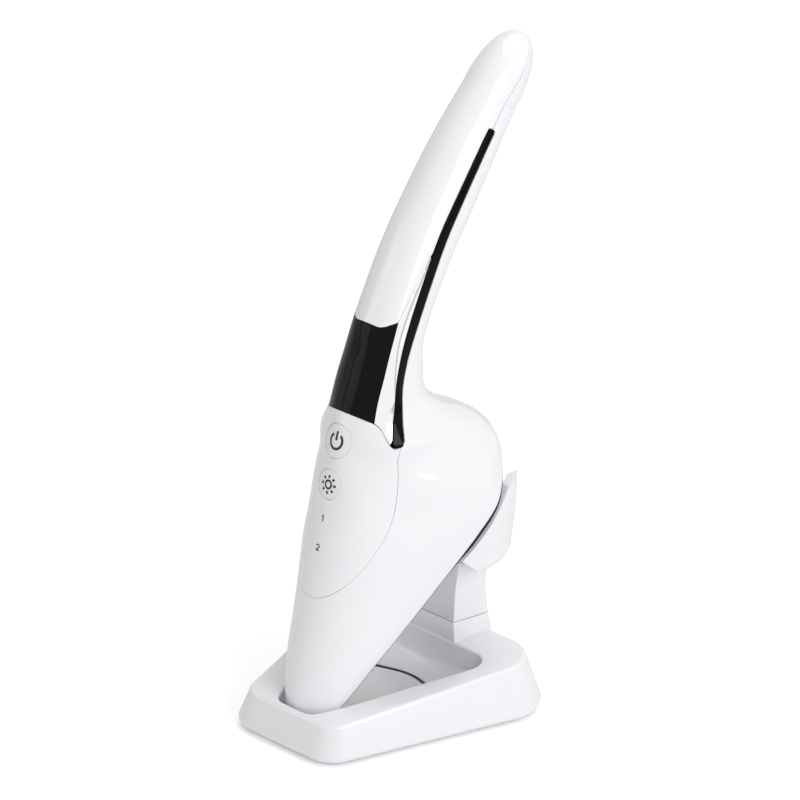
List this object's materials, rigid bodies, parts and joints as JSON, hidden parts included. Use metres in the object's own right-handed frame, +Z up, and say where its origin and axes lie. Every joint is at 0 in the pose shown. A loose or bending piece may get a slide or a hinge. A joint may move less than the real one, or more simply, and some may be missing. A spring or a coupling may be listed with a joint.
{
  "type": "facial lifting device",
  "caption": "White hand-held facial lifting device with a curved handle, standing tip down in its table holder with a cradle.",
  "frame": {"origin": "on the table, under the middle of the whole object's box", "axes": "+Z up, +X to the device's left-right side, -Y where the buttons look, the cradle is towards +Y"},
  "size_m": [0.0914, 0.1214, 0.2385],
  "materials": {
    "white_gloss": "gloss",
    "white_satin": "satin",
    "black_gloss": "gloss",
    "chrome": "polished",
    "steel": "satin",
    "rubber": "matte",
    "board": "satin",
    "black_plastic": "satin",
    "red_lens": "gloss",
    "cell": "satin",
    "clear": "gloss"
  },
  "bodies": {
    "holder": {"base_shell": "white_gloss", "base_cover": "white_satin", "well_tray": "white_gloss", "ballast_weight": "steel", "cradle": "white_gloss", "cradle_screw_left": "steel", "cradle_screw_right": "steel", "base_screw_1": "steel", "base_screw_2": "steel", "base_screw_3": "steel", "base_screw_4": "steel", "foot_front_left": "rubber", "foot_front_right": "rubber", "foot_back_left": "rubber", "foot_back_right": "rubber"},
    "handset": {"main_shell": "white_gloss", "handle_cover": "white_gloss", "button_panel": "white_gloss", "face_plate": "white_gloss", "display_window": "black_gloss", "side_strip_left": "black_gloss", "side_strip_right": "black_gloss", "chrome_trim_left": "chrome", "chrome_trim_right": "chrome", "face_trim": "chrome", "treatment_plate": "steel", "charging_socket": "steel", "main_board": "board", "charging_board": "board", "lamp_board": "board", "power_switch": "black_plastic", "light_switch": "black_plastic", "display_module": "black_plastic", "battery_frame": "black_plastic", "light_lens": "red_lens", "battery": "cell", "lamp_1": "clear", "lamp_2": "clear", "lamp_3": "clear", "mode_led_1": "clear", "mode_led_2": "clear"},
    "power_button": {"power_button": "white_satin"},
    "light_button": {"light_button": "white_satin"}
  },
  "joints": [
    {"name": "handset_lift", "type": "slide", "parent": "holder", "child": "handset", "axis": [0, 0, 1], "range_m": [0, 0.11]},
    {"name": "power_button_press", "type": "slide", "parent": "handset", "child": "power_button", "axis": [0, 0.9514, -0.308], "range_m": [0, 0.0004], "stiffness_N_per_m": 600},
    {"name": "light_button_press", "type": "slide", "parent": "handset", "child": "light_button", "axis": [0, 0.9684, -0.2494], "range_m": [0, 0.0004], "stiffness_N_per_m": 600}
  ]
}
